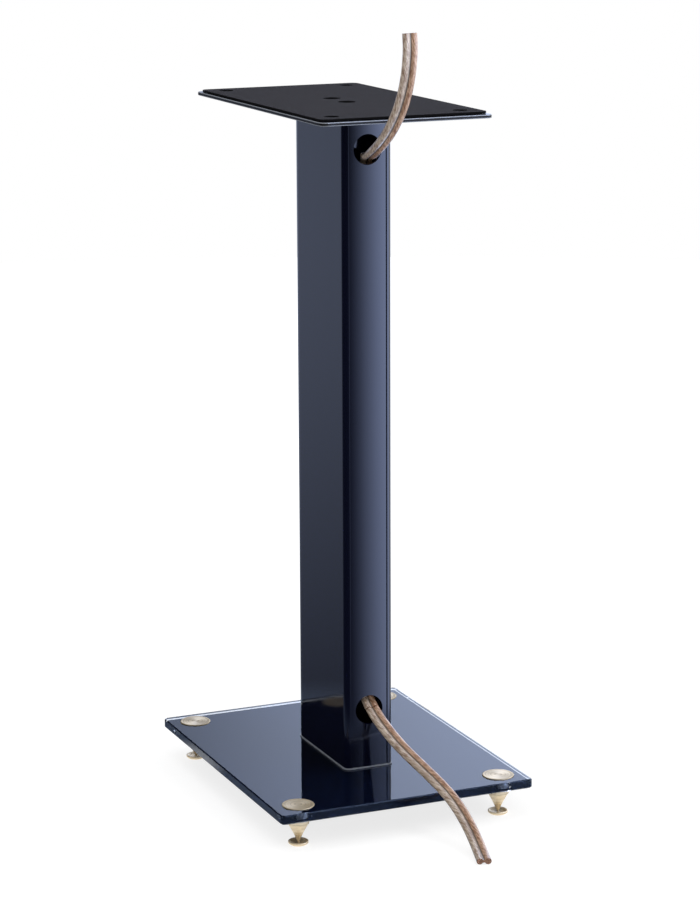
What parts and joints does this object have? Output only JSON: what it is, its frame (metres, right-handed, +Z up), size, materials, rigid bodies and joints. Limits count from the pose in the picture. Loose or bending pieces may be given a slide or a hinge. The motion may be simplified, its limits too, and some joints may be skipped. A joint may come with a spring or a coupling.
{
  "type": "speaker stand",
  "caption": "Tall stand for a bookshelf speaker: glass base on levelling spikes, hollow column with a clip-in rear cover and cable duct, padded top plate.",
  "frame": {"origin": "middle of the footprint on the floor, at rest on the four cups", "axes": "+Z up; -Y is the front, with the rounded nose of the column; +Y is the rear, with the cover and the cable holes"},
  "size_m": [0.23, 0.3721, 0.6677],
  "materials": {
    "back_painted_glass": "black back-painted toughened glass, polished, ground arrises",
    "navy_lacquer": "navy gloss lacquer over an aluminium extrusion",
    "black_steel": "satin black powder coat",
    "black_screw": "black oxide",
    "zinc_steel": "bright zinc plate",
    "spun_brass": "pale champagne plate, turned, fine concentric marks",
    "charcoal_pad": "matt charcoal damping sheet, fine grain",
    "black_rubber": "matt",
    "clear_gasket": "translucent, satin",
    "white_nylon": "natural nylon, satin",
    "clear_copper_cable": "clear jacket over stranded copper, one core tinned"
  },
  "bodies": {
    "root": {"base_glass": "back_painted_glass", "top_cap_front_left": "spun_brass", "glass_bush_front_left": "white_nylon", "ring_nut_front_left": "zinc_steel", "top_cap_front_right": "spun_brass", "glass_bush_front_right": "white_nylon", "ring_nut_front_right": "zinc_steel", "top_cap_rear_left": "spun_brass", "glass_bush_rear_left": "white_nylon", "ring_nut_rear_left": "zinc_steel", "top_cap_rear_right": "spun_brass", "glass_bush_rear_right": "white_nylon", "ring_nut_rear_right": "zinc_steel", "foot_gasket": "clear_gasket", "column_extrusion": "navy_lacquer", "rear_cover": "navy_lacquer", "spreader_pad": "black_rubber", "spreader_plate": "zinc_steel", "bolt_washer_front": "zinc_steel", "bolt_washer_rear": "zinc_steel", "base_bolt_front": "zinc_steel", "base_bolt_rear": "zinc_steel", "top_plate": "black_steel", "top_pad": "charcoal_pad", "top_screw_front": "black_screw", "top_screw_rear": "black_screw", "cable_upper": "clear_copper_cable", "cable_inner": "clear_copper_cable", "cable_lower": "clear_copper_cable"},
    "foot_front_left": {"cup_front_left": "spun_brass"},
    "screw_front_left": {"spike_front_left": "spun_brass"},
    "foot_front_right": {"cup_front_right": "spun_brass"},
    "screw_front_right": {"spike_front_right": "spun_brass"},
    "foot_rear_left": {"cup_rear_left": "spun_brass"},
    "screw_rear_left": {"spike_rear_left": "spun_brass"},
    "foot_rear_right": {"cup_rear_right": "spun_brass"},
    "screw_rear_right": {"spike_rear_right": "spun_brass"}
  },
  "joints": [
    {"name": "front_left_height", "type": "slide", "parent": "root", "child": "foot_front_left", "axis": [0, 0, -1], "range_m": [0, 0.006]},
    {"name": "front_left_turn", "type": "hinge", "parent": "foot_front_left", "child": "screw_front_left", "pos_m": [-0.092, -0.1215, 0.002], "axis": [0, 0, -1], "range_deg": [0, 1728]},
    {"name": "front_right_height", "type": "slide", "parent": "root", "child": "foot_front_right", "axis": [0, 0, -1], "range_m": [0, 0.006]},
    {"name": "front_right_turn", "type": "hinge", "parent": "foot_front_right", "child": "screw_front_right", "pos_m": [0.092, -0.1215, 0.002], "axis": [0, 0, -1], "range_deg": [0, 1728]},
    {"name": "rear_left_height", "type": "slide", "parent": "root", "child": "foot_rear_left", "axis": [0, 0, -1], "range_m": [0, 0.006]},
    {"name": "rear_left_turn", "type": "hinge", "parent": "foot_rear_left", "child": "screw_rear_left", "pos_m": [-0.092, 0.1215, 0.002], "axis": [0, 0, -1], "range_deg": [0, 1728]},
    {"name": "rear_right_height", "type": "slide", "parent": "root", "child": "foot_rear_right", "axis": [0, 0, -1], "range_m": [0, 0.006]},
    {"name": "rear_right_turn", "type": "hinge", "parent": "foot_rear_right", "child": "screw_rear_right", "pos_m": [0.092, 0.1215, 0.002], "axis": [0, 0, -1], "range_deg": [0, 1728]}
  ],
  "couplings": [
    {"joint": "front_left_turn", "follows": "front_left_height", "rad_per_m": 5026.5},
    {"joint": "front_right_turn", "follows": "front_right_height", "rad_per_m": 5026.5},
    {"joint": "rear_left_turn", "follows": "rear_left_height", "rad_per_m": 5026.5},
    {"joint": "rear_right_turn", "follows": "rear_right_height", "rad_per_m": 5026.5}
  ]
}
